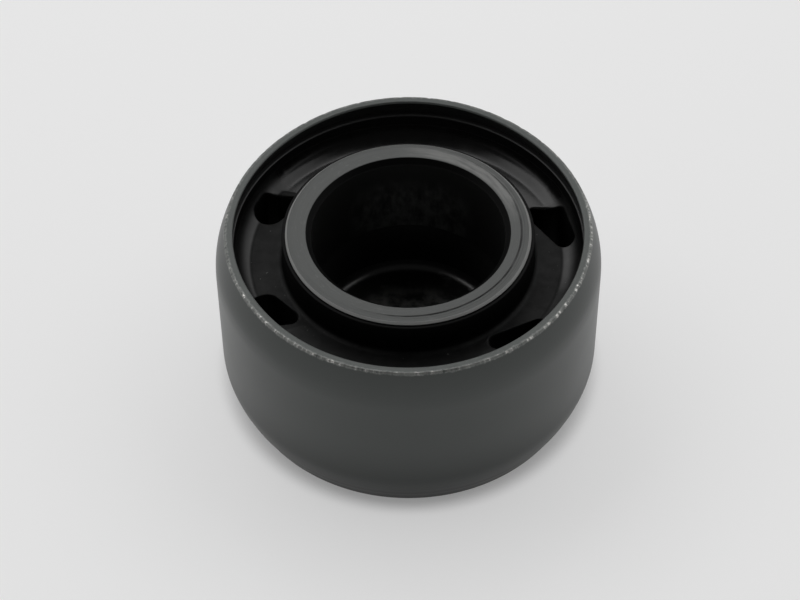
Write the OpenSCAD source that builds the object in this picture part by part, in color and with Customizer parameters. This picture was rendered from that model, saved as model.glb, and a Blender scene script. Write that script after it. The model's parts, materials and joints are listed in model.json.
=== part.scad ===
// Differential mount: a rubber-metal bush that is pressed into a differential housing or a subframe eye.
// A thin outer sleeve with rolled-in ends holds a bonded rubber element, and the rubber carries a thick
// inner sleeve with a counterbore and a bolt hole in its floor. The axis is +Z, and Z = 0 is the foot.

/* [Outer sleeve] */
// Largest outside diameter, the pressed surface
outer_d = 68; // [62:0.5:76]
// Height of the bush over both ends
height = 35; // [32:0.5:44]
// Wall of the outer sleeve
sleeve_wall = 1.5; // [1.2:0.1:2]
// Height of the rolled-in stretch at each end
roll_h = 8; // [6:0.5:10]
// How far each end is rolled in at the radius
roll_in = 1.7; // [1:0.1:2.2]
// Height of the bevel round the foot
foot_bevel_h = 2.8; // [1.5:0.1:4]
// Width of the bevel round the foot
foot_bevel_w = 1.1; // [0.7:0.05:1.3]
// Edge break on the inside of the rim and the foot
rim_break = 0.25; // [0.1:0.05:0.4]

/* [Inner sleeve] */
// Outside diameter of the inner sleeve
inner_d = 43; // [40:0.5:46]
// Diameter of the machined counterbore
bore_d = 34; // [28:0.5:36]
// Depth of the machined counterbore, from the top face
bore_depth = 16.8; // [12:0.2:20]
// Lead-in chamfer at the mouth of the counterbore
bore_chamfer = 0.95; // [0.4:0.05:1.5]
// Relief below the machined wall, at the radius
relief = 0.3; // [0.1:0.05:0.6]
// Thickness of the floor that the bolt clamps
floor_t = 7; // [5:0.5:10]
// Fillet between the relieved wall and the floor
floor_fillet = 2; // [1:0.1:3]
// Diameter of the bolt hole
bolt_d = 13; // [8.5:0.5:17]
// Countersink round both ends of the bolt hole
bolt_chamfer = 0.8; // [0.3:0.1:1.2]
// Edge break round the outside of both end faces
inner_break = 0.35; // [0.1:0.05:0.8]

/* [Rubber] */
// Depth of the rubber web below each end face
web_drop = 6.8; // [6.6:0.2:10]
// Thickness of the rubber lining on the outer sleeve
lining = 1.8; // [1:0.1:2.4]
// Depth of the lining's edge below the rim and above the foot
lining_drop = 2.6; // [2:0.1:4]
// Thickness of the rubber skin on the inner sleeve
skin = 0.6; // [0.4:0.1:1.2]
// Depth of the skin's edge below each end face
skin_drop = 0.6; // [0.5:0.1:2]
// Fillet between the web and the lining
outer_fillet = 3.6; // [1:0.1:4]
// Fillet between the web and the skin
inner_fillet = 1; // [0.4:0.1:1.2]

/* [Voids] */
// Direction of the middle of the right arm, in degrees
right_arm = -14.5; // [-20:0.5:15]
// Direction of the middle of the left arm, in degrees
left_arm = 180.5; // [165:0.5:200]
// Angle that each arm spans between its voids
arm_span = 37; // [30:0.5:60]
// Angle that each right void spans, from its edge at the arm to its far edge
right_void_span = 23; // [16:0.5:30]
// Angle that each left void spans, from its edge at the arm to its far edge
left_void_span = 18; // [16:0.5:30]
// Corner radius at the arm of the two right voids
right_tip_r = 1.8; // [0.8:0.1:2.8]
// Corner radius at the arm of the two left voids
left_tip_r = 2.6; // [0.8:0.1:2.8]
// Corner radius at both ends of each void's far edge
far_r = 1.5; // [0.8:0.1:2]
// Angle by which the far edge leans back from its inner to its outer end
far_lean = 4; // [0:0.5:8]
// Rubber left between a void and the lining's face
lining_land = 1; // [0.2:0.1:1.5]
// Rubber left between a void's inner corner and the skin's face
skin_land = 1.3; // [1:0.1:3]

/* [Hidden] */
$fn = 160;
// Overshoot that takes each cut clear through
cut = 1;
// Lap of a void's round corners over its sides, so that the curves cross and don't only touch
end_lap = 0.06;

outer_r = outer_d / 2;
cavity_r = outer_r - sleeve_wall;
inner_r = inner_d / 2;
bore_r = bore_d / 2;
relief_r = bore_r + relief;
bolt_r = bolt_d / 2;
// Radius of the arc that rolls the sleeve's outside in, and of the same arc one wall further in
roll_r = (roll_h * roll_h + roll_in * roll_in) / (2 * roll_in);
cavity_roll_r = roll_r - sleeve_wall;
roll_centre = outer_r - roll_r;
// Where the rolled arc meets the top of the foot bevel, and the foot's own outside radius
bevel_r = roll_centre + sqrt(pow(roll_r, 2) - pow(roll_h - foot_bevel_h, 2));
foot_r = bevel_r - foot_bevel_w;
// Radius of the rim's inner edge
rim_r = roll_centre + sqrt(pow(cavity_roll_r, 2) - pow(roll_h, 2));

lining_r = cavity_r - lining;
skin_r = inner_r + skin;
web_low = web_drop;
web_high = height - web_drop;
// A void fills the room between the two lands
void_outer_r = lining_r - lining_land;
void_inner_r = skin_r + skin_land;
// Each void's edge at its arm, the signed angle that it spans from there, and its corner radius at the arm
voids = [
    [right_arm + arm_span / 2, right_void_span, right_tip_r],
    [left_arm - arm_span / 2, -left_void_span, left_tip_r],
    [left_arm + arm_span / 2, left_void_span, left_tip_r],
    [right_arm - arm_span / 2, -right_void_span, right_tip_r]
];

// Point at a radius and a direction
function polar(r, direction) = r * [cos(direction), sin(direction)];

// Point a lap inside the end, at either corner, of the outer tangent from round corner a to round corner b
function tangent_end(a, b, at, way) =
    let (run = b[0] - a[0], along = atan2(run[1], run[0]), lean = acos((a[1] - b[1]) / norm(run)))
        at[0] + polar(at[1] - end_lap, along - way * lean);

// Half section of a barrel of radius r: straight in the middle, and rolled in by an arc at both ends
module barrel(r, arc_r) {
    // The core fills the section to the axis where the arcs' circles stop short of it
    if (roll_centre > 0) square([roll_centre, height]);
    translate([0, roll_h]) square([r, height - 2 * roll_h]);
    for (level = [roll_h, height - roll_h])
        intersection() {
            translate([roll_centre, level]) circle(arc_r);
            translate([0, level == roll_h ? 0 : level]) square([r, roll_h]);
        }
}

// Half section of the space inside the outer sleeve
module cavity() {
    barrel(cavity_r, cavity_roll_r);
}

// Half section of an edge break, the corner between a bore wall of radius r and an end face
module edge_cone(r, size) {
    polygon([[0, cut], [r + size + cut, cut], [r + size, 0], [r, -size], [0, -size]]);
}

module outer_sleeve_section() {
    difference() {
        barrel(outer_r, roll_r);
        cavity();
        // The bevel takes the corner off the foot
        polygon([
            [foot_r, 0], [bevel_r, foot_bevel_h], [outer_r + cut, foot_bevel_h], [outer_r + cut, -cut],
            [foot_r, -cut]
        ]);
        translate([0, height]) edge_cone(rim_r, rim_break);
        mirror([0, 1]) edge_cone(rim_r, rim_break);
    }
}

module outer_sleeve() {
    color([0.27, 0.29, 0.28])
        rotate_extrude() outer_sleeve_section();
}

// Half section of the rubber before the moats are cut, between the inner sleeve and the outer sleeve
module rubber_block() {
    intersection() {
        cavity();
        translate([inner_r, lining_drop]) square([outer_r, height - 2 * lining_drop]);
    }
    translate([inner_r, skin_drop]) square([skin, height - 2 * skin_drop]);
}

// Half section of the moat above the web, from the web's level up, with a fillet against each wall
module moat() {
    depth = web_drop + cut;
    difference() {
        translate([skin_r, 0]) square([lining_r - skin_r, depth]);
        difference() {
            translate([skin_r, 0]) square(inner_fillet);
            translate([skin_r + inner_fillet, inner_fillet]) circle(inner_fillet);
        }
        difference() {
            translate([lining_r - outer_fillet, 0]) square(outer_fillet);
            translate([lining_r - outer_fillet, outer_fillet]) circle(outer_fillet);
        }
    }
}

module rubber_section() {
    difference() {
        rubber_block();
        translate([0, web_high]) moat();
        translate([0, web_low]) mirror([0, 1]) moat();
    }
}

// Outline of one void: a round corner at the arm and two at the far edge, joined by their outer tangents
module void_outline(arm_edge, span, tip_r) {
    way = sign(span);
    tip_mid_r = void_outer_r - tip_r;
    out_mid_r = void_outer_r - far_r;
    in_mid_r = void_inner_r + far_r;
    tip = [polar(tip_mid_r, arm_edge + way * asin(tip_r / tip_mid_r)), tip_r];
    far_out = [polar(out_mid_r, arm_edge + span - way * (far_lean + asin(far_r / out_mid_r))), far_r];
    far_in = [polar(in_mid_r, arm_edge + span - way * asin(far_r / in_mid_r)), far_r];
    for (corner = [tip, far_out, far_in])
        translate(corner[0]) circle(corner[1]);
    polygon([
        tangent_end(tip, far_out, tip, way), tangent_end(tip, far_out, far_out, way),
        tangent_end(far_out, far_in, far_out, way), tangent_end(far_out, far_in, far_in, way),
        tangent_end(far_in, tip, far_in, way), tangent_end(far_in, tip, tip, way)
    ]);
}

module rubber_element() {
    color([0.05, 0.05, 0.055])
        difference() {
            rotate_extrude() rubber_section();
            for (place = voids)
                translate([0, 0, -cut])
                    linear_extrude(height + 2 * cut) void_outline(place[0], place[1], place[2]);
        }
}

// Half section of the inner sleeve: counterbore, relief, filleted floor and bolt hole
module inner_sleeve_section() {
    difference() {
        square([inner_r, height]);
        translate([0, height - bore_depth]) square([bore_r, bore_depth + cut]);
        difference() {
            translate([0, floor_t]) square([relief_r, height - bore_depth - floor_t]);
            difference() {
                translate([relief_r - floor_fillet, floor_t]) square(floor_fillet);
                translate([relief_r - floor_fillet, floor_t + floor_fillet]) circle(floor_fillet);
            }
        }
        translate([0, -cut]) square([bolt_r, height]);
        translate([0, height]) edge_cone(bore_r, bore_chamfer);
        translate([0, floor_t]) edge_cone(bolt_r, bolt_chamfer);
        mirror([0, 1]) edge_cone(bolt_r, bolt_chamfer);
        for (face = [0, height])
            translate([inner_r, face]) rotate(45) square(inner_break * sqrt(2), center = true);
    }
}

module inner_sleeve() {
    color([0.34, 0.35, 0.345])
        rotate_extrude() inner_sleeve_section();
}

outer_sleeve();
rubber_element();
inner_sleeve();
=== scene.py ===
"""Looks of a differential mount: a worn grey outer sleeve, a black rubber element and a turned inner sleeve.

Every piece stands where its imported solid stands. Shapes are worked out in mm, and meshes are in metres.
"""

import json
import math

import bmesh
import bpy
import numpy as np
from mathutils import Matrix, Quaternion, Vector


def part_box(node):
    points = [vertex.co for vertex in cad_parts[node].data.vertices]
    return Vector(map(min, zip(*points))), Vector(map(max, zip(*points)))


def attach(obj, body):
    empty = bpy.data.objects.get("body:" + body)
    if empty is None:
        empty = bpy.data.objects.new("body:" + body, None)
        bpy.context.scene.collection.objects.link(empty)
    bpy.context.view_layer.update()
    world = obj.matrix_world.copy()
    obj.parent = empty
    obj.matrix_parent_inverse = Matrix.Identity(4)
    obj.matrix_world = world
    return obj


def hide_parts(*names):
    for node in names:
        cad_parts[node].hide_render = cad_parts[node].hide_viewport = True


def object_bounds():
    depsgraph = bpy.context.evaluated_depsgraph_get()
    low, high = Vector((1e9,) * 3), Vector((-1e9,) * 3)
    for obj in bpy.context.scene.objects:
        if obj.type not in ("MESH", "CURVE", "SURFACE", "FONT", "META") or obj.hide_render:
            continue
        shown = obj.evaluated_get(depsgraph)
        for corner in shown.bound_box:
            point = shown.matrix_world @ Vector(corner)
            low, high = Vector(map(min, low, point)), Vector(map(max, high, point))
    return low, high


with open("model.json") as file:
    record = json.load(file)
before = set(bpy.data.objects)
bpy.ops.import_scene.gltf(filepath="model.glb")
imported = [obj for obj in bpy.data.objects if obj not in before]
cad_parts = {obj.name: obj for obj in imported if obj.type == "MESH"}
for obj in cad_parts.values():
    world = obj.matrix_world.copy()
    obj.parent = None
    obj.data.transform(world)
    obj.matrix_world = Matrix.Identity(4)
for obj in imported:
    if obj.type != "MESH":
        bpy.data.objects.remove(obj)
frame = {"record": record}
cad_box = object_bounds()

MM = 0.001
# Points closer than this are merged, in metres
MERGE = 1e-7
mounts = {mount["name"]: mount for mount in frame["record"]["mounts"]}

# Sizes that the frame gives, in mm
OUTER_R = mounts["press_surface"]["dims"]["r_mm"]
BORE_R = mounts["counterbore"]["dims"]["r_mm"]
BOLT_R = mounts["bolt_hole"]["dims"]["r_mm"]
INNER_R = round(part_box("inner_sleeve")[1].y / MM, 2)
HEIGHT = round(cad_box[1].z / MM, 2)
MIDDLE = HEIGHT / 2

# Outer sleeve, in mm
SLEEVE_WALL = 1.5
ROLL_H = (HEIGHT - mounts["press_surface"]["dims"]["length_mm"]) / 2
ROLL_IN = 1.7
FOOT_BEVEL_H = 2.8
FOOT_BEVEL_W = 1.1
RIM_ROUND = 0.32
FOOT_ROUND = 0.3
BEVEL_ROUND = 2.0
# Each rolled arc stops short of the rounded corner that it runs into, by this angle in radians
ARC_SHORT = 0.03
BEVEL_SHORT = 0.08
ROLL_R = (ROLL_H**2 + ROLL_IN**2) / (2 * ROLL_IN)
ROLL_CENTRE = OUTER_R - ROLL_R
CAVITY_R = OUTER_R - SLEEVE_WALL
CAVITY_ROLL_R = ROLL_R - SLEEVE_WALL
RIM_OUT_R = OUTER_R - ROLL_IN
RIM_IN_R = ROLL_CENTRE + math.sqrt(CAVITY_ROLL_R**2 - ROLL_H**2)
BEVEL_R = ROLL_CENTRE + math.sqrt(ROLL_R**2 - (ROLL_H - FOOT_BEVEL_H) ** 2)
FOOT_R = BEVEL_R - FOOT_BEVEL_W
# Both pressed ends are a little out of round: the rim is wider to the back, and the foot is drawn in
RIM_OVAL = 0.45
RIM_SPREAD = 0.2
RIM_SHIFT = 0.6
RIM_FLAT = 0.42
FOOT_OVAL = 0.3
FOOT_SPREAD = -0.5
PRESSED_RIM_H = 5.5
PRESSED_FOOT_H = 7.0
# Nicks along the rim's outer corner: their waves round the axis, the level above which these cut, the depths
# inwards and downwards, and the distances from the corner at which the nicks are full and gone
NICK_WAVES = (43, 61, 79, 97, 113)
NICK_LEVEL = 0.5
NICK_IN = 0.07
NICK_DOWN = 0.05
NICK_FULL = 0.1
NICK_GONE = 0.7

# Inner sleeve, in mm
BORE_DEPTH = 16.8
BORE_CHAMFER = 0.95
RELIEF = 0.3
RELIEF_R = BORE_R + RELIEF
FLOOR_T = 7.0
FLOOR_FILLET = 2.0
BOLT_CHAMFER = 0.8
INNER_BREAK = 0.35
INNER_EDGE_ROUND = 0.1
# The facing cut on the top face ends at a circle a little off the axis, in a fine groove
FACING_R = 20.1
FACING_OFFSET = 0.4
FACING_DIRECTION = math.radians(140)
GROOVE_DIRECTION = math.radians(-25)
GROOVE_W = 0.16
GROOVE_DEPTH = 0.2
GROOVE_WAVES = (9, 17, 31, 55)

# Rubber element, in mm
WEB_DROP = 6.8
LINING = 1.8
LINING_DROP = 2.6
SKIN = 0.6
SKIN_DROP = 0.6
OUTER_FILLET = 3.6
INNER_FILLET = 1.0
LINING_EDGE_ROUND = 0.25
SKIN_EDGE_ROUND = 0.2
LINING_R = CAVITY_R - LINING
LINING_TOP = HEIGHT - LINING_DROP
SKIN_R = INNER_R + SKIN
SKIN_TOP = HEIGHT - SKIN_DROP
# Rubber left between a void and the faces of the lining and the skin
LINING_LAND = 1.0
SKIN_LAND = 1.3
VOID_OUTER_R = LINING_R - LINING_LAND
VOID_INNER_R = SKIN_R + SKIN_LAND
# Round of a void's edge beside its arm, the wider one at its far edge, and where that one fades out
ARM_EDGE_ROUND = 0.22
WIDE_EDGE_ROUND = 0.5
WIDE_END_R = VOID_OUTER_R - 2.5
# Each void's edge at its arm, the signed angle that it spans in degrees, and its corner radius at the arm
RIGHT_ARM = -14.5
LEFT_ARM = 180.5
HALF_ARM = 18.5
RIGHT_SPAN = 23.0
LEFT_SPAN = 18.0
RIGHT_TIP_R = 1.8
LEFT_TIP_R = 2.6
# Corner radius at both ends of a void's far edge, and the angle by which that edge leans back outwards
FAR_R = 1.5
FAR_LEAN = 4.0
VOIDS = (
    (RIGHT_ARM + HALF_ARM, RIGHT_SPAN, RIGHT_TIP_R),
    (LEFT_ARM - HALF_ARM, -LEFT_SPAN, LEFT_TIP_R),
    (LEFT_ARM + HALF_ARM, LEFT_SPAN, LEFT_TIP_R),
    (RIGHT_ARM - HALF_ARM, -RIGHT_SPAN, RIGHT_TIP_R),
)
# Each arm's dull top ends at this radius, and the rubber outside it is glossy
RIGHT_DULL_R = 27.2
LEFT_DULL_R = 27.9

# Steps of the grids
AROUND_STEEL = 400
AROUND_RUBBER = 360
# Stretch of the web that a void's own grid takes up, beyond the void inwards in mm and round in degrees
VOID_MARGIN = 0.9
VOID_MARGIN_TURN = 5.5


def arc(centre, radius, start, end, steps):
    """Points of an arc in the section plane, at centre + radius (cos t, sin t), with t from start to end."""
    turn = np.linspace(start, end, steps)
    return np.column_stack((centre[0] + radius * np.cos(turn), centre[1] + radius * np.sin(turn)))


def rounded(corner, before, after, radius, steps=7):
    """Arc that rounds a section's corner: it touches the sides that run to the points before and after."""
    corner = np.array(corner, float)
    side_in = np.array(before, float) - corner
    side_out = np.array(after, float) - corner
    side_in /= np.linalg.norm(side_in)
    side_out /= np.linalg.norm(side_out)
    half = math.acos(float(side_in @ side_out)) / 2
    middle = (side_in + side_out) / np.linalg.norm(side_in + side_out)
    centre = corner + middle * radius / math.sin(half)
    first = corner + side_in * radius / math.tan(half) - centre
    last = corner + side_out * radius / math.tan(half) - centre
    start = math.atan2(first[1], first[0])
    turn = math.remainder(math.atan2(last[1], last[0]) - start, 2 * math.pi)
    return arc(centre, radius, start, start + turn, steps)


def filled(section, step=1.2, guard=0.07, closed=True):
    """Section with points added along its straight sides: a guard length from each end, and evenly between.

    The guards keep the smooth shading of a rounded corner from spreading over the flat beside it.
    """
    ends = np.roll(section, -1, axis=0) if closed else section[1:]
    starts = section if closed else section[:-1]
    stretches = []
    for start, end in zip(starts, ends):
        length = np.linalg.norm(end - start)
        if length < 4 * guard:
            shares = np.array([0.0])
        else:
            inner = np.linspace(guard / length, 1 - guard / length, 2 + int(length / step))
            shares = np.concatenate(([0.0], inner))
        stretches.append(start + shares[:, None] * (end - start))
    if not closed:
        stretches.append(section[-1:])
    return np.concatenate(stretches)


def carried_round(section, around):
    """Radius, angle and height on a grid: the section's points down the rows, the angle along columns."""
    angle = np.linspace(0, 2 * math.pi, around, endpoint=False)
    radius = np.repeat(section[:, :1], around, axis=1)
    height = np.repeat(section[:, 1:], around, axis=1)
    return radius, np.broadcast_to(angle, radius.shape).copy(), height


def to_points(radius, angle, height):
    """Points (r cos t, r sin t, z) of polar grids, as one list."""
    return np.stack((radius * np.cos(angle), radius * np.sin(angle), height), -1).reshape(-1, 3)


def grid_faces(rows, columns, closed_rows):
    """Four-sided faces of a grid that closes along its columns, and along its rows if closed_rows is set."""
    row = np.arange(rows if closed_rows else rows - 1)[:, None]
    column = np.arange(columns)[None, :]
    below = (row + 1) % rows
    beside = (column + 1) % columns
    corners = (
        row * columns + column,
        row * columns + beside,
        below * columns + beside,
        below * columns + column,
    )
    return np.stack(np.broadcast_arrays(*corners), -1)


def smooth_step(value, low, high):
    """0 below low, 1 above high, and a smooth cubic between."""
    share = np.clip((value - low) / (high - low), 0, 1)
    return share * share * (3 - 2 * share)


def wavering(angle, waves, seed):
    """Sum of cosines round the axis, one for each number of waves, divided by the root of their count.

    The seed fixes their phases.
    """
    phases = np.random.default_rng(seed).uniform(0, 2 * math.pi, len(waves))
    total = sum(np.cos(count * angle + phase) for count, phase in zip(waves, phases))
    return total / math.sqrt(len(waves))


def pressed_oval(radius, angle, height):
    """Radius with the ends' out-of-roundness, which fades out away from the rim and the foot, and inwards.

    At each end it is r + spread - oval cos 2t, with the end's own spread and oval. The rim adds shift sin t,
    and it takes off flat (1 + sin t) / 2 times the square of sin 2t, which flattens its back diagonals.
    """
    outwards = smooth_step(radius, SKIN_R + INNER_FILLET, LINING_R)
    at_rim = smooth_step(height, HEIGHT - PRESSED_RIM_H, HEIGHT)
    at_foot = smooth_step(-height, -PRESSED_FOOT_H, 0)
    rim = RIM_SPREAD - RIM_OVAL * np.cos(2 * angle) + RIM_SHIFT * np.sin(angle)
    rim = rim - RIM_FLAT * (1 + np.sin(angle)) / 2 * np.sin(2 * angle) ** 2
    foot = FOOT_SPREAD - FOOT_OVAL * np.cos(2 * angle)
    return radius + outwards * (at_rim * rim + at_foot * foot)


def new_piece(name, node, points, faces, plain_radius, finish):
    """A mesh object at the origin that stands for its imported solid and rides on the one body.

    Its attribute plain_radius holds each point's radius before the ends were pressed oval, in mm.
    """
    mesh = bpy.data.meshes.new(name)
    mesh.from_pydata((points * MM).tolist(), [], faces.reshape(-1, 4).tolist())
    plain = mesh.attributes.new("plain_radius", "FLOAT", "POINT")
    plain.data.foreach_set("value", np.ravel(plain_radius).astype(np.float32))
    work = bmesh.new()
    work.from_mesh(mesh)
    bmesh.ops.remove_doubles(work, verts=work.verts, dist=MERGE)
    work.to_mesh(mesh)
    work.free()
    mesh.shade_smooth()
    mesh.materials.append(finish)
    piece = bpy.data.objects.new(name, mesh)
    bpy.context.scene.collection.objects.link(piece)
    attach(piece, "root")
    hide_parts(node)


def sleeve_section():
    """Closed half section of the outer sleeve: rolled wall, rim, cavity wall, foot and foot bevel."""
    rim_turn = math.asin(ROLL_H / ROLL_R)
    cavity_turn = math.asin(ROLL_H / CAVITY_ROLL_R)
    bevel_turn = math.asin((ROLL_H - FOOT_BEVEL_H) / ROLL_R)
    top = (ROLL_CENTRE, HEIGHT - ROLL_H)
    foot = (ROLL_CENTRE, ROLL_H)
    outer_top = arc(top, ROLL_R, 0, rim_turn - ARC_SHORT, 16)
    cavity_top = arc(top, CAVITY_ROLL_R, cavity_turn - ARC_SHORT, 0, 12)
    cavity_foot = arc(foot, CAVITY_ROLL_R, 0, ARC_SHORT - cavity_turn, 12)
    outer_foot = arc(foot, ROLL_R, BEVEL_SHORT - bevel_turn, 0, 12)
    return np.concatenate((
        outer_top,
        rounded((RIM_OUT_R, HEIGHT), outer_top[-1], (RIM_IN_R, HEIGHT), RIM_ROUND),
        rounded((RIM_IN_R, HEIGHT), (RIM_OUT_R, HEIGHT), cavity_top[0], RIM_ROUND),
        cavity_top,
        cavity_foot,
        rounded((RIM_IN_R, 0), cavity_foot[-1], (FOOT_R, 0), FOOT_ROUND),
        rounded((FOOT_R, 0), (RIM_IN_R, 0), (BEVEL_R, FOOT_BEVEL_H), FOOT_ROUND),
        rounded((BEVEL_R, FOOT_BEVEL_H), (FOOT_R, 0), outer_foot[0], BEVEL_ROUND, 5),
        outer_foot,
    ))


def outer_sleeve(finish):
    """The sleeve's section carried round the axis, pressed oval at its ends and nicked along the rim."""
    radius, angle, height = carried_round(filled(sleeve_section()), AROUND_STEEL)
    corner = np.hypot(radius - RIM_OUT_R, height - HEIGHT)
    near_corner = 1 - smooth_step(corner, NICK_FULL, NICK_GONE)
    nicks = near_corner * np.clip(wavering(angle, NICK_WAVES, 3) - NICK_LEVEL, 0, None)
    pressed = pressed_oval(radius, angle, height) - NICK_IN * nicks
    height = height - NICK_DOWN * nicks
    points = to_points(pressed, angle, height)
    faces = grid_faces(*radius.shape, True)
    new_piece("outer_sleeve_shell", "outer_sleeve", points, faces, radius, finish)


def inner_section():
    """Closed half section of the inner sleeve: wall, top face, counterbore, relief, floor and bolt hole."""
    bore_foot = HEIGHT - BORE_DEPTH
    floor_turn = arc((RELIEF_R - FLOOR_FILLET, FLOOR_T + FLOOR_FILLET), FLOOR_FILLET, 0, -math.pi / 2, 12)
    # Points across the fine groove at the edge of the facing cut
    across = FACING_R + GROOVE_W * np.linspace(1.5, -1.5, 13)
    groove = np.column_stack((across, np.full(len(across), HEIGHT)))
    stretches = [
        np.atleast_2d(stretch)
        for stretch in (
            (INNER_R, INNER_BREAK),
            (INNER_R, HEIGHT - INNER_BREAK),
            (INNER_R - INNER_BREAK, HEIGHT),
            groove,
            (BORE_R + BORE_CHAMFER, HEIGHT),
            (BORE_R, HEIGHT - BORE_CHAMFER),
            (BORE_R, bore_foot),
            (RELIEF_R, bore_foot),
            floor_turn,
            (BOLT_R + BOLT_CHAMFER, FLOOR_T),
            (BOLT_R, FLOOR_T - BOLT_CHAMFER),
            (BOLT_R, BOLT_CHAMFER),
            (BOLT_R + BOLT_CHAMFER, 0),
            (INNER_R - INNER_BREAK, 0),
        )
    ]
    befores = stretches[-1:] + stretches[:-1]
    afters = stretches[1:] + stretches[:1]
    return np.concatenate([
        stretch if len(stretch) > 1 else rounded(stretch[0], before[-1], after[0], INNER_EDGE_ROUND, 4)
        for stretch, before, after in zip(stretches, befores, afters)
    ])


def inner_sleeve(finish):
    """The inner sleeve's section carried round the axis, with the facing cut's groove a little off it."""
    radius, angle, height = carried_round(filled(inner_section(), step=0.9), AROUND_STEEL)
    just_below = HEIGHT - 1e-6
    on_face = height > just_below
    # The groove is V-shaped, deepest in its own direction, and fades out on the far side
    across = (radius - FACING_R) / GROOVE_W
    strength = smooth_step(np.cos(angle - GROOVE_DIRECTION), -0.3, 0.9)
    strength = strength * (0.75 + 0.25 * wavering(angle, GROOVE_WAVES, 11))
    groove = GROOVE_DEPTH * np.clip(strength, 0, 1) * np.clip(1 - np.abs(across), 0, 1)
    # The offset fades out towards both edges of the ring
    room = smooth_step(radius, BORE_R + BORE_CHAMFER, FACING_R)
    room = room * smooth_step(-radius, INNER_EDGE_ROUND - INNER_R, -FACING_R)
    moved = radius + on_face * room * FACING_OFFSET * np.cos(angle - FACING_DIRECTION)
    height = height - on_face * groove
    points = to_points(moved, angle, height)
    faces = grid_faces(*radius.shape, True)
    new_piece("inner_sleeve_turning", "inner_sleeve", points, faces, radius, finish)


def web_height(radius):
    """Height of the web's upper face: level, with quarter-round fillets up to the skin and the lining."""
    inner = np.clip(SKIN_R + INNER_FILLET - radius, 0, INNER_FILLET)
    outer = np.clip(radius - LINING_R + OUTER_FILLET, 0, OUTER_FILLET)
    rise = INNER_FILLET - np.sqrt(INNER_FILLET**2 - inner**2)
    return HEIGHT - WEB_DROP + rise + OUTER_FILLET - np.sqrt(OUTER_FILLET**2 - outer**2)


# Radii of the web's rows where the voids lie, from the outside in, closer together up the outer fillet
WEB_ROWS = LINING_R - (LINING_R - VOID_INNER_R + VOID_MARGIN) * np.linspace(0.07, 1, 42) ** 1.7


def rubber_section():
    """Open upper half of the rubber's section, from the outer wall to the inner wall, both at mid height.

    Gives the points and the rows between which the voids' stretch of the web lies.
    """
    top = (ROLL_CENTRE, HEIGHT - ROLL_H)
    ledge_turn = math.asin((LINING_TOP - top[1]) / CAVITY_ROLL_R)
    outer_wall = arc(top, CAVITY_ROLL_R, 0, ledge_turn, 8)
    before_web = np.concatenate((
        filled(np.array(((CAVITY_R, MIDDLE), (CAVITY_R, top[1]))), closed=False)[:-1],
        outer_wall[:-1],
        filled(np.concatenate((
            outer_wall[-1:],
            rounded((LINING_R, LINING_TOP), outer_wall[-1], (LINING_R, MIDDLE), LINING_EDGE_ROUND),
            ((LINING_R, HEIGHT - WEB_DROP + OUTER_FILLET),),
        )), step=0.5, closed=False),
    ))
    web = np.column_stack((WEB_ROWS, web_height(WEB_ROWS)))
    fillet_rows = SKIN_R + INNER_FILLET * (1 - np.sin(np.linspace(0.35, 1, 9) * math.pi / 2))
    fillet_rows = fillet_rows[fillet_rows < WEB_ROWS[-1] - 0.05]
    after_web = np.concatenate((
        np.column_stack((fillet_rows, web_height(fillet_rows))),
        filled(np.concatenate((
            rounded((SKIN_R, SKIN_TOP), (SKIN_R, MIDDLE), (INNER_R, SKIN_TOP), SKIN_EDGE_ROUND),
            ((INNER_R, SKIN_TOP), (INNER_R, MIDDLE)),
        )), step=1.5, closed=False),
    ))
    first = len(before_web)
    return np.concatenate((before_web, web, after_web)), first, first + len(web) - 1


def void_outline(void):
    """Closed plan outline of one void, as complex points: three round corners and their outer tangents."""
    arm_edge, span, tip_r = void
    way = math.copysign(1, span)
    corners = []
    for middle, radius, edge, side in (
        (VOID_OUTER_R - tip_r, tip_r, arm_edge, way),
        (VOID_OUTER_R - FAR_R, FAR_R, arm_edge + span - way * FAR_LEAN, -way),
        (VOID_INNER_R + FAR_R, FAR_R, arm_edge + span, -way),
    ):
        direction = math.radians(edge) + side * math.asin(radius / middle)
        corners.append((middle * np.exp(1j * direction), radius))
    afters = corners[1:] + corners[:1]
    # The direction from each corner's centre to its tangent with the next corner
    leans = []
    for (centre, radius), (after, after_radius) in zip(corners, afters):
        run = after - centre
        leans.append(np.angle(run) - way * math.acos((radius - after_radius) / abs(run)))
    stretches = []
    for k, (centre, radius) in enumerate(corners):
        turn = way * ((way * (leans[k] - leans[k - 1])) % (2 * math.pi))
        stretches.append(centre + radius * np.exp(1j * (leans[k - 1] + turn * np.linspace(0, 1, 40))))
        after, after_radius = afters[k]
        touch = after + after_radius * np.exp(1j * leans[k])
        last = stretches[-1][-1]
        stretches.append(last + (touch - last) * np.linspace(0, 1, 80)[1:-1])
    return np.concatenate(stretches)


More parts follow.
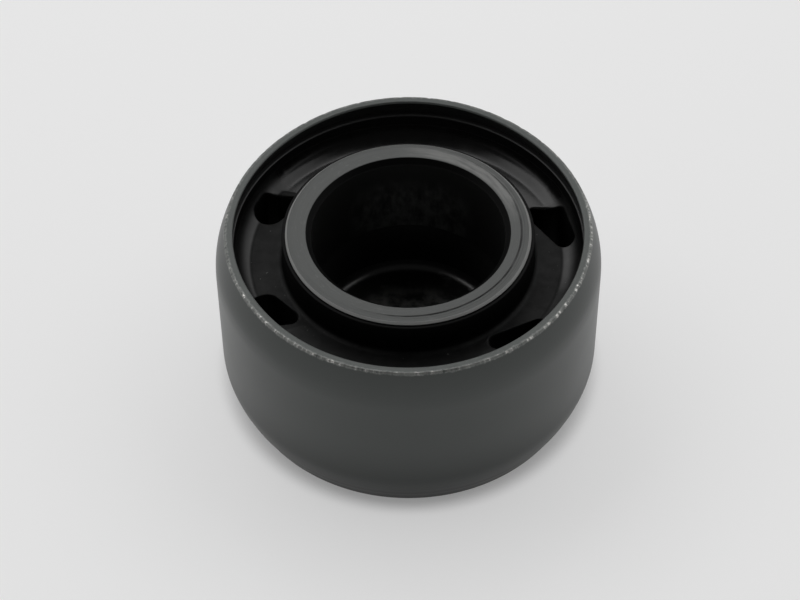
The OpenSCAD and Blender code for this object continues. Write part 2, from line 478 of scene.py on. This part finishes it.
def void_patch(radius, rows, void):
    """Grid from the edge of one void's stretch of the web to its outline, round its edge and down its wall.

    Each point of the stretch's edge runs straight at the void's middle until it meets the outline.
    """
    arm_edge, span, _ = void
    way = math.copysign(1, span)
    first, last = rows
    columns = radius.shape[1]
    # The stretch of the web round the void, as columns and as the walk along its edge
    ends = sorted((arm_edge - way * VOID_MARGIN_TURN, arm_edge + span + way * VOID_MARGIN_TURN))
    low, high = (round(end * columns / 360) for end in ends)
    across = np.arange(low, high)
    down = np.arange(first, last)
    edge_row = np.concatenate((
        np.full(len(across), first), down, np.full(len(across), last), down[::-1] + 1,
    ))
    edge_column = np.concatenate((
        across, np.full(len(down), high), across[::-1] + 1, np.full(len(down), low),
    ))
    edge_radius = radius[edge_row, edge_column % columns]
    edge = edge_radius * np.exp(2j * math.pi * edge_column / columns)
    # The outline's distance from the void's middle in each edge point's direction
    outline_points = void_outline(void)
    core = outline_points.mean()
    reach = np.abs(edge - core)
    lean = (edge - core) / reach
    spokes = outline_points - core
    outline = np.interp(np.angle(lean), np.angle(spokes), np.abs(spokes), period=2 * math.pi)
    met = core + outline * lean
    share = way * np.degrees(np.angle(met * np.exp(-1j * math.radians(arm_edge)))) / abs(span)
    on_web = 1 - smooth_step(np.abs(met), WIDE_END_R, VOID_OUTER_R)
    edge_round = ARM_EDGE_ROUND + smooth_step(share, 0.55, 0.8) * on_web * (WIDE_EDGE_ROUND - ARM_EDGE_ROUND)
    # Distances from the middle: over the web, round the edge, and down the wall
    shares = np.linspace(0, 1, 10)[:, None] ** 0.8
    turns = np.linspace(0, math.pi / 2, 6)[1:, None]
    levels = np.linspace(0, 1, 7)[1:, None]
    spread = reach + shares * (outline + edge_round - reach)
    bend = outline + edge_round * (1 - np.sin(turns))
    wall = outline + 0 * levels
    patch = core + lean * np.concatenate((spread, bend, wall))
    patch_radius = np.abs(patch)
    sink = np.concatenate((0 * spread, edge_round * (1 - np.cos(turns))))
    edge_height = web_height(patch_radius[: len(sink)]) - sink
    wall_height = edge_height[-1] + levels * (MIDDLE - edge_height[-1])
    return (patch_radius, np.angle(patch), np.concatenate((edge_height, wall_height))), (low, high)


def rubber_element(finish):
    """The rubber: its upper half as a grid with four voids let in, and the same half mirrored below."""
    section, first, last = rubber_section()
    radius, angle, height = carried_round(section, AROUND_RUBBER)
    faces = grid_faces(*radius.shape, False)
    grids = [(radius, angle, height)]
    keep = np.ones(faces.shape[:2], bool)
    face_lists = []
    for void in VOIDS:
        patch, (low, high) = void_patch(radius, (first, last), void)
        taken = np.arange(low, high) % AROUND_RUBBER
        keep[first:last, taken] = False
        start = sum(grid[0].size for grid in grids)
        face_lists.append(grid_faces(*patch[0].shape, False).reshape(-1, 4) + start)
        grids.append(patch)
    face_lists.insert(0, faces[keep])
    radius, angle, height = (np.concatenate([grid[k].ravel() for grid in grids]) for k in range(3))
    faces = np.concatenate(face_lists)
    upper = to_points(pressed_oval(radius, angle, height), angle, height)
    lower = to_points(pressed_oval(radius, angle, HEIGHT - height), angle, HEIGHT - height)
    points = np.concatenate((upper, lower))
    faces = np.concatenate((faces, faces[:, ::-1] + len(upper)))
    plain = np.tile(radius, 2)
    new_piece("rubber_moulding", "rubber_element", points, faces, plain, finish)


class Finish:
    """One material of nodes. Most methods add a node and give back the socket that holds its result."""

    def __init__(self, name):
        self.material = bpy.data.materials.new(name)
        self.material.use_nodes = True
        self.tree = self.material.node_tree
        self.shader = self.tree.nodes["Principled BSDF"]
        self.place = self.add("ShaderNodeTexCoord").outputs["Object"]
        self.x, self.y, height = self.add("ShaderNodeSeparateXYZ", {"Vector": self.place}).outputs
        squares = self.plus(self.times(self.x, self.x), self.times(self.y, self.y))
        self.radius_m = self.math("SQRT", squares)
        self.height = self.times(height, 1 / MM)
        self.radius = self.add("ShaderNodeAttribute", attribute_name="plain_radius").outputs["Fac"]

    def add(self, kind, inputs=None, **settings):
        """A new node of a kind, with its settings made and its inputs fed."""
        made = self.tree.nodes.new(kind)
        for name, value in settings.items():
            setattr(made, name, value)
        for name, value in (inputs or {}).items():
            self.feed(made.inputs[name], value)
        return made

    def feed(self, socket, value):
        """Links a result to an input, or sets a constant number or colour on it."""
        if isinstance(value, bpy.types.NodeSocket):
            self.tree.links.new(value, socket)
        else:
            socket.default_value = value

    def math(self, operation, first, second=0.0):
        return self.add("ShaderNodeMath", {0: first, 1: second}, operation=operation).outputs[0]

    def times(self, first, second):
        return self.math("MULTIPLY", first, second)

    def minus(self, first, second):
        return self.math("SUBTRACT", first, second)

    def plus(self, first, second):
        return self.math("ADD", first, second)

    def ramp(self, value, low, high):
        """0 at low, 1 at high, with a smooth cubic between. Low may be the larger one."""
        inputs = {"Value": value, "From Min": low, "From Max": high}
        return self.add("ShaderNodeMapRange", inputs, interpolation_type="SMOOTHSTEP").outputs[0]

    def band(self, value, low, high, soft):
        """1 between low and high, falling to 0 over a soft edge outside them."""
        return self.times(self.ramp(value, low - soft, low), self.ramp(value, high + soft, high))

    def from_point(self, radius, height):
        """Distance in the section from a point at a radius and a height, in mm."""
        out = self.minus(self.radius, radius)
        up = self.minus(self.height, height)
        return self.math("SQRT", self.plus(self.times(out, out), self.times(up, up)))

    def facing(self, degrees, half_width):
        """1 in one direction round the axis, falling to 0 at the half width from it."""
        cosine, sine = math.cos(math.radians(degrees)), math.sin(math.radians(degrees))
        towards = self.plus(self.times(self.x, cosine), self.times(self.y, sine))
        share = self.math("DIVIDE", towards, self.radius_m)
        return self.ramp(share, math.cos(math.radians(half_width)), 1.0)

    def noise(self, scale, detail=3.0, roughness=0.55, vector=None):
        inputs = {"Vector": vector or self.place, "Scale": scale, "Detail": detail, "Roughness": roughness}
        return self.add("ShaderNodeTexNoise", inputs).outputs[0]

    def round_noise(self, around, radial, upright, detail=3.0):
        """Noise stretched round the axis: patches round it, and patches to a mm outwards and upwards."""
        inputs = {
            0: self.times(self.math("DIVIDE", self.x, self.radius_m), around),
            1: self.times(self.math("DIVIDE", self.y, self.radius_m), around),
            2: self.plus(self.times(self.radius, radial), self.times(self.height, upright)),
        }
        vector = self.add("ShaderNodeCombineXYZ", inputs).outputs[0]
        return self.noise(1.0, detail, vector=vector)

    def mix(self, share, first, second):
        """Second colour over the first by a share. A colour is a socket or three numbers."""
        colours = [(*c, 1.0) if isinstance(c, tuple) else c for c in (first, second)]
        made = self.add("ShaderNodeMix", {0: share, 6: colours[0], 7: colours[1]}, data_type="RGBA")
        return made.outputs[2]

    def blend(self, share, first, second):
        """Second number over the first by a share."""
        return self.add("ShaderNodeMix", {0: share, 2: first, 3: second}, data_type="FLOAT").outputs[0]

    def bump(self, depth, distance, strength=1.0, under=None):
        inputs = {"Height": depth, "Distance": distance, "Strength": strength}
        if under:
            inputs["Normal"] = under
        return self.add("ShaderNodeBump", inputs).outputs[0]

    def finish(self, colour, roughness, normal, metallic=0.0, specular=0.5, tint=(1.0, 1.0, 1.0)):
        """The material, with its shader's inputs fed."""
        self.feed(self.shader.inputs["Base Color"], colour)
        self.feed(self.shader.inputs["Roughness"], roughness)
        self.feed(self.shader.inputs["Normal"], normal)
        self.feed(self.shader.inputs["Metallic"], metallic)
        self.feed(self.shader.inputs["Specular IOR Level"], specular)
        self.feed(self.shader.inputs["Specular Tint"], (*tint, 1.0))
        return self.material


def phosphated_sleeve():
    """Dark grey phosphate coat with a satin grain, and ragged specks of bare steel along the rim."""
    f = Finish("phosphated_sleeve")
    mottle = f.noise(70, 5)
    grain = f.noise(2400, 2)
    coat = f.mix(mottle, (0.0155, 0.0168, 0.0161), (0.0235, 0.0254, 0.0245))
    # Painted shade: the coat darkens from 14 mm down towards the foot
    coat = f.mix(f.ramp(f.height, 14, 1), coat, (0.009, 0.0098, 0.0094))
    # The rim's face is rubbed in patches
    rubbed = f.blend(f.round_noise(30, 2.0, 0.0, 4), 0.1, 0.7)
    rubbed = f.times(rubbed, f.ramp(f.height, HEIGHT - 0.3, HEIGHT - 0.02))
    coat = f.mix(rubbed, coat, (0.05, 0.052, 0.049))
    # Painted shade: the cavity's wall is darkened from just below the rim, where the rolled lip shades it
    from_roll = f.from_point(ROLL_CENTRE, HEIGHT - ROLL_H)
    inside = f.ramp(from_roll, CAVITY_ROLL_R + 0.4, CAVITY_ROLL_R + 0.1)
    inside = f.times(inside, f.ramp(f.height, HEIGHT - 0.2, HEIGHT - 0.45))
    coat = f.mix(inside, coat, (0.008, 0.0083, 0.008))
    # Bare steel along the rim's outer corner, most of it at the front left and the right
    ragged = f.times(f.minus(f.noise(1500, 4, 0.65), 0.5), 0.7)
    corner = f.plus(f.from_point(RIM_OUT_R - 0.05, HEIGHT - 0.1), ragged)
    front_left = f.facing(-137, 45)
    front = f.facing(-90, 40)
    right = f.facing(-20, 50)
    where = f.math("MAXIMUM", f.math("MAXIMUM", front_left, f.times(front, 0.45)), f.times(right, 0.9))
    patches = f.minus(f.round_noise(14, 0.3, 0.3, 4), 0.5)
    patchy = f.plus(f.round_noise(55, 2.5, 2.5, 5), f.times(patches, 0.5))
    patchy = f.plus(patchy, f.times(where, 0.12))
    worn = f.times(f.ramp(corner, 0.3, 0.12), f.ramp(patchy, 0.6, 0.76))
    faint = f.times(f.ramp(corner, 0.5, 0.2), f.ramp(patchy, 0.3, 0.6))
    coat = f.mix(f.times(faint, 0.8), coat, (0.17, 0.172, 0.164))
    colour = f.mix(worn, coat, (0.52, 0.51, 0.49))
    roughness = f.blend(worn, f.blend(mottle, 0.33, 0.42), 0.34)
    normal = f.bump(grain, 0.00004, 0.35)
    # The shine fades towards the foot and inside
    specular = f.blend(f.ramp(f.height, 18, 2), 0.62, 0.32)
    specular = f.blend(f.ramp(f.height, FOOT_BEVEL_H, FOOT_BEVEL_H - 0.6), specular, 0.2)
    specular = f.blend(inside, specular, 0.25)
    return f.finish(colour, roughness, normal, worn, specular, tint=(0.94, 1.0, 0.97))


def moulded_rubber():
    """Black rubber: glossy at the back and outside the arms, dull and dusty on the arms and at the front."""
    f = Finish("moulded_rubber")
    bloom = f.noise(130, 5, 0.65)
    mottle = f.noise(420, 4, 0.6)
    on_left = f.ramp(f.facing(LEFT_ARM, 50), 0.2, 0.45)
    on_right = f.ramp(f.facing(RIGHT_ARM, 50), 0.2, 0.45)
    on_arm = f.plus(on_left, on_right)
    at_front = f.ramp(f.facing(-80, 75), 0.0, 0.3)
    # Polished outside each arm's dull top and over the rest of the web, but hardly at the front
    dull_r = f.blend(on_left, f.blend(on_right, SKIN_R + INNER_FILLET, RIGHT_DULL_R), LEFT_DULL_R)
    polished = f.ramp(f.minus(f.radius, dull_r), -0.35, 0.35)
    polished = f.times(polished, f.minus(1.0, f.times(at_front, 0.9)))
    # A dark crease runs along the edge of each arm's dull top
    crease = f.times(f.band(f.minus(f.radius, dull_r), -0.2, -0.05, 0.3), on_arm)
    skin = f.ramp(f.radius, SKIN_R + 0.3, SKIN_R + 0.1)
    wall = f.ramp(f.radius, LINING_R - 0.25, LINING_R - 0.1)
    colour = f.mix(bloom, (0.0016, 0.0016, 0.0017), (0.0032, 0.0032, 0.0031))
    # Dust greys the dull places, and pale specks of it lie on the web
    dusty = f.math("MAXIMUM", on_arm, f.times(at_front, 0.9))
    grey = f.mix(mottle, (0.0035, 0.0037, 0.0037), (0.0085, 0.0088, 0.0086))
    colour = f.mix(f.times(dusty, f.minus(1.0, f.math("MAXIMUM", polished, skin))), colour, grey)
    dust = f.times(f.ramp(f.noise(1300, 2, 0.5), 0.72, 0.77), f.blend(polished, 0.6, 0.1))
    dust = f.times(dust, f.minus(1.0, f.math("MAXIMUM", skin, wall)))
    colour = f.mix(dust, colour, (0.12, 0.12, 0.115))
    glossy = f.blend(on_arm, f.blend(mottle, 0.14, 0.3), 0.38)
    roughness = f.blend(polished, f.blend(bloom, 0.5, 0.62), glossy)
    roughness = f.blend(wall, roughness, 0.5)
    specular = f.blend(polished, f.blend(mottle, 0.09, 0.27), f.blend(mottle, 0.3, 0.48))
    specular = f.blend(f.math("MAXIMUM", skin, wall), specular, 0.08)
    specular = f.times(specular, f.minus(1.0, f.times(crease, 0.4)))
    # The lining's top edge shines
    ledge = f.ramp(f.height, LINING_TOP - 0.3, LINING_TOP - 0.1)
    specular = f.blend(f.times(ledge, wall), specular, 0.5)
    normal = f.bump(f.noise(900, 3), 0.00005, f.blend(polished, 0.3, 0.04))
    return f.finish(colour, roughness, normal, 0.0, specular)


def turned_steel():
    """Dull turned steel: a faced ring with tool lines and scuffs, a dark counterbore with a painted
    reflection, and a floor with dust and painted light.
    """
    f = Finish("turned_steel")
    coat_mottle = f.noise(160, 4)
    coat = f.mix(coat_mottle, (0.0015, 0.0016, 0.0015), (0.003, 0.0031, 0.003))
    # The ring and the lower end are faced, and the rest is coated
    on_face = f.ramp(f.height, HEIGHT - 0.45, HEIGHT - 0.3)
    on_face = f.times(on_face, f.ramp(f.radius, BORE_R + 0.85, BORE_R + 0.97))
    on_face = f.math("MAXIMUM", on_face, f.ramp(f.height, 0.3, 0.05))
    lines = f.round_noise(1.6, 9.0, 0.0, 4)
    scuffs = f.ramp(f.round_noise(14, 3.0, 0.0, 5), 0.55, 0.8)
    faced = f.mix(lines, (0.057, 0.0595, 0.058), (0.097, 0.1, 0.0975))
    faced = f.mix(f.times(scuffs, 0.35), faced, (0.17, 0.17, 0.165))
    # The band outside the facing cut is a little duller, with dark tool lines, and painted shade darkens the
    # groove at the cut's edge
    outside = f.ramp(f.radius, FACING_R - 0.05, FACING_R + 0.05)
    faced = f.mix(f.times(outside, 0.15), faced, (0.045, 0.047, 0.0455))
    fine = f.ramp(f.round_noise(2.5, 16.0, 0.0, 2), 0.6, 0.68)
    faced = f.mix(f.times(f.times(fine, outside), 0.4), faced, (0.02, 0.021, 0.02))
    # Painted shade: the groove is darkened, most at the front right, with a fainter dark line just outside
    # it
    painted_groove_shade = f.band(f.radius, FACING_R - 0.2, FACING_R + 0.14, 0.1)
    painted_groove_shade = f.math("MAXIMUM", painted_groove_shade, f.times(f.band(f.radius, FACING_R + 0.42, FACING_R + 0.48, 0.06), 0.6))
    painted_groove_shade = f.times(painted_groove_shade, f.facing(-25, 100))
    painted_groove_shade = f.times(painted_groove_shade, f.blend(f.round_noise(20, 0.0, 0.0, 4), 0.5, 1.0))
    faced = f.mix(f.times(painted_groove_shade, 0.9), faced, (0.006, 0.006, 0.006))
    # A rubbed patch in the middle of the ring at the back right
    rub = f.times(f.band(f.radius, BORE_R + 1.6, BORE_R + 2.8, 0.8), f.facing(50, 48))
    rub = f.times(rub, f.ramp(f.round_noise(5, 1.5, 0.0, 2), 0.15, 0.7))
    faced = f.mix(f.times(rub, 0.9), faced, (0.18, 0.18, 0.175))
    # The edge break round the ring is bright
    rim = f.ramp(f.radius, INNER_R - INNER_BREAK - 0.1, INNER_R - INNER_BREAK + 0.05)
    faced = f.mix(f.times(rim, 0.8), faced, (0.26, 0.262, 0.256))
    colour = f.mix(on_face, coat, faced)
    # The machined wall of the counterbore carries a painted reflection in streaks at the back, lower down,
    # and the relief below it is plain
    bore_foot = HEIGHT - BORE_DEPTH
    in_bore = f.ramp(f.radius, BORE_R + 0.12, BORE_R + 0.02)
    in_bore = f.times(in_bore, f.ramp(f.height, bore_foot, bore_foot + 0.1))
    streaks = f.times(f.round_noise(12, 0.0, 0.35, 4), f.blend(f.noise(240, 4), 0.5, 1.5))
    low_wall = f.ramp(f.height, HEIGHT - 3.5, bore_foot + 4)
    painted_bore_reflection = f.times(f.times(f.ramp(streaks, 0.25, 0.75), low_wall), f.facing(88, 44))
    bore_wall_and_painted_reflection = f.mix(painted_bore_reflection, (0.008, 0.0083, 0.008), (0.12, 0.124, 0.12))
    colour = f.mix(in_bore, colour, bore_wall_and_painted_reflection)
    below = f.ramp(f.height, bore_foot - 0.05, bore_foot - 0.15)
    below = f.times(below, f.ramp(f.height, 0.1, 0.3))
    colour = f.mix(below, colour, (0.018, 0.0186, 0.018))
    # Round the bolt hole the floor is lightened in patches, part dust and part painted light, with pale
    # specks of dust
    floor = f.ramp(f.height, FLOOR_T + 0.6, FLOOR_T + 0.1)
    specks = f.times(floor, f.ramp(f.noise(520, 3, 0.6), 0.57, 0.68))
    specks = f.times(specks, f.blend(f.facing(-90, 80), 0.3, 1.0))
    dust_and_painted_light = f.times(floor, f.ramp(f.noise(300, 4, 0.6), 0.35, 0.65))
    dust_and_painted_light = f.times(dust_and_painted_light, f.ramp(f.radius, 13.5, 9))
    colour = f.mix(f.times(dust_and_painted_light, 0.8), colour, (0.3, 0.3, 0.29))
    colour = f.mix(f.times(specks, 0.6), colour, (0.25, 0.25, 0.24))
    fillet = f.band(f.height, FLOOR_T + 0.15, FLOOR_T + 1.5, 0.2)
    roughness = f.blend(on_face, f.blend(fillet, 0.42, 0.3), f.blend(lines, 0.45, 0.6))
    metallic = f.times(on_face, f.times(f.minus(1.0, f.math("MAXIMUM", painted_groove_shade, rim)), 0.5))
    chamfer = f.ramp(f.height, HEIGHT - BORE_CHAMFER - 0.1, HEIGHT - BORE_CHAMFER + 0.1)
    specular = f.blend(floor, f.blend(chamfer, 0.15, 0.04), 0.4)
    specular = f.blend(on_face, f.blend(fillet, specular, 0.95), 0.5)
    normal = f.bump(f.times(lines, on_face), 0.00003, 0.6)
    normal = f.bump(f.noise(2200, 2), 0.00003, 0.3, under=normal)
    return f.finish(colour, roughness, normal, metallic, specular)


def pale_floor():
    """Matt white studio floor, lifted by a share of even white where the camera, metal or gloss sees it."""
    f = Finish("pale_floor")
    colour = f.mix(f.noise(3.0, 2), (0.80, 0.80, 0.80), (0.82, 0.82, 0.822))
    material = f.finish(colour, 0.7, f.bump(f.noise(900, 2), 0.0001, 0.05))
    path = f.add("ShaderNodeLightPath").outputs
    mirrored = f.math("MAXIMUM", path["Is Glossy Ray"], path["Is Transmission Ray"])
    seen = f.math("MAXIMUM", path["Is Camera Ray"], mirrored)
    white = f.add("ShaderNodeEmission", {"Color": (1.0, 1.0, 1.0, 1.0), "Strength": 1.0})
    # Painted shadow: less of it within 4 mm of the foot, which darkens the floor there and deepens the
    # contact shadow
    share = f.blend(f.ramp(f.radius_m, FOOT_R * MM, (FOOT_R + 4) * MM), 0.2, 0.48)
    layers = {0: f.times(seen, share), 1: f.shader.outputs[0], 2: white.outputs[0]}
    lifted = f.add("ShaderNodeMixShader", layers)
    f.feed(f.tree.nodes["Material Output"].inputs["Surface"], lifted.outputs[0])
    return material


def studio_floor():
    """A flat white disc just under the part: the points (r cos t, r sin t) at one level, in metres."""
    reach = 3.0
    level = -0.00003
    corners = 96
    mesh = bpy.data.meshes.new("studio_floor")
    turn = np.linspace(0, 2 * math.pi, corners, endpoint=False)
    disc = np.column_stack((reach * np.cos(turn), reach * np.sin(turn), np.full(corners, level)))
    mesh.from_pydata(disc.tolist(), [], [list(range(corners))])
    mesh.materials.append(pale_floor())
    floor = bpy.data.objects.new("studio_floor", mesh)
    bpy.context.scene.collection.objects.link(floor)


def soft_box(name, azimuth, elevation, distance, size, radiance):
    """Area lamp that faces the object from a direction, in degrees from the right and above the floor.

    Its power is pi times its area times the radiance that it shows.
    """
    lamp = bpy.data.lights.new(name, "AREA")
    lamp.shape = "RECTANGLE"
    lamp.size, lamp.size_y = size
    lamp.energy = math.pi * size[0] * size[1] * radiance
    box = bpy.data.objects.new(name, lamp)
    turn, lift = math.radians(azimuth), math.radians(elevation)
    way = Vector((math.cos(lift) * math.cos(turn), math.cos(lift) * math.sin(turn), math.sin(lift)))
    box.location = way * distance
    box.rotation_euler = way.to_track_quat("Z", "Y").to_euler()
    bpy.context.scene.collection.objects.link(box)


def room_light():
    """World of a studio: white near the floor, dim overhead, with the white reaching highest at the back."""
    world = bpy.data.worlds.new("pale_room")
    world.use_nodes = True
    tree = world.node_tree
    way = tree.nodes.new("ShaderNodeTexCoord")
    lean = tree.nodes.new("ShaderNodeVectorMath")
    lean.operation = "DOT_PRODUCT"
    # Height less a share of the way back, so that the white reaches higher there
    lean.inputs[1].default_value = (0.0, -0.36, 1.0)
    shade = tree.nodes.new("ShaderNodeMapRange")
    shade.interpolation_type = "SMOOTHSTEP"
    for name, value in {"From Min": 0.53, "From Max": 0.73, "To Min": 0.85, "To Max": 0.05}.items():
        shade.inputs[name].default_value = value
    tree.links.new(way.outputs["Generated"], lean.inputs[0])
    tree.links.new(lean.outputs["Value"], shade.inputs["Value"])
    tree.links.new(shade.outputs["Result"], tree.nodes["Background"].inputs["Strength"])
    tree.nodes["Background"].inputs["Color"].default_value = (1.0, 1.0, 1.0, 1.0)
    bpy.context.scene.world = world


def light():
    """Two long soft boxes, behind the part at the left and the right, in the pale room."""
    elevation = 55
    distance = 0.75
    size = (0.8, 0.38)
    soft_box("left_box", 138, elevation, distance, size, 1.6)
    soft_box("right_box", 42, elevation, distance, size, 1.2)
    room_light()


def camera():
    """The photograph's view, with its focal length in pixels of an image that is 800 pixels wide."""
    image_width = 800
    focal_pixels = 2350
    aim = Vector((-0.00156, 0, 0.01663))
    distance = 0.4233
    elevation = math.radians(48.7)
    roll = math.radians(-0.6)
    lens = bpy.data.cameras.new("camera")
    lens.sensor_width = 36.0
    lens.lens = focal_pixels * lens.sensor_width / image_width
    lens.clip_start = 0.01
    eye = bpy.data.objects.new("camera", lens)
    back = Vector((0, -math.cos(elevation), math.sin(elevation)))
    eye.location = aim + back * distance
    eye.rotation_euler = (back.to_track_quat("Z", "Y") @ Quaternion((0, 0, 1), roll)).to_euler()
    bpy.context.scene.collection.objects.link(eye)
    bpy.context.scene.camera = eye


outer_sleeve(phosphated_sleeve())
rubber_element(moulded_rubber())
inner_sleeve(turned_steel())
studio_floor()
light()
camera()
bpy.context.scene.view_settings.view_transform = "Standard"
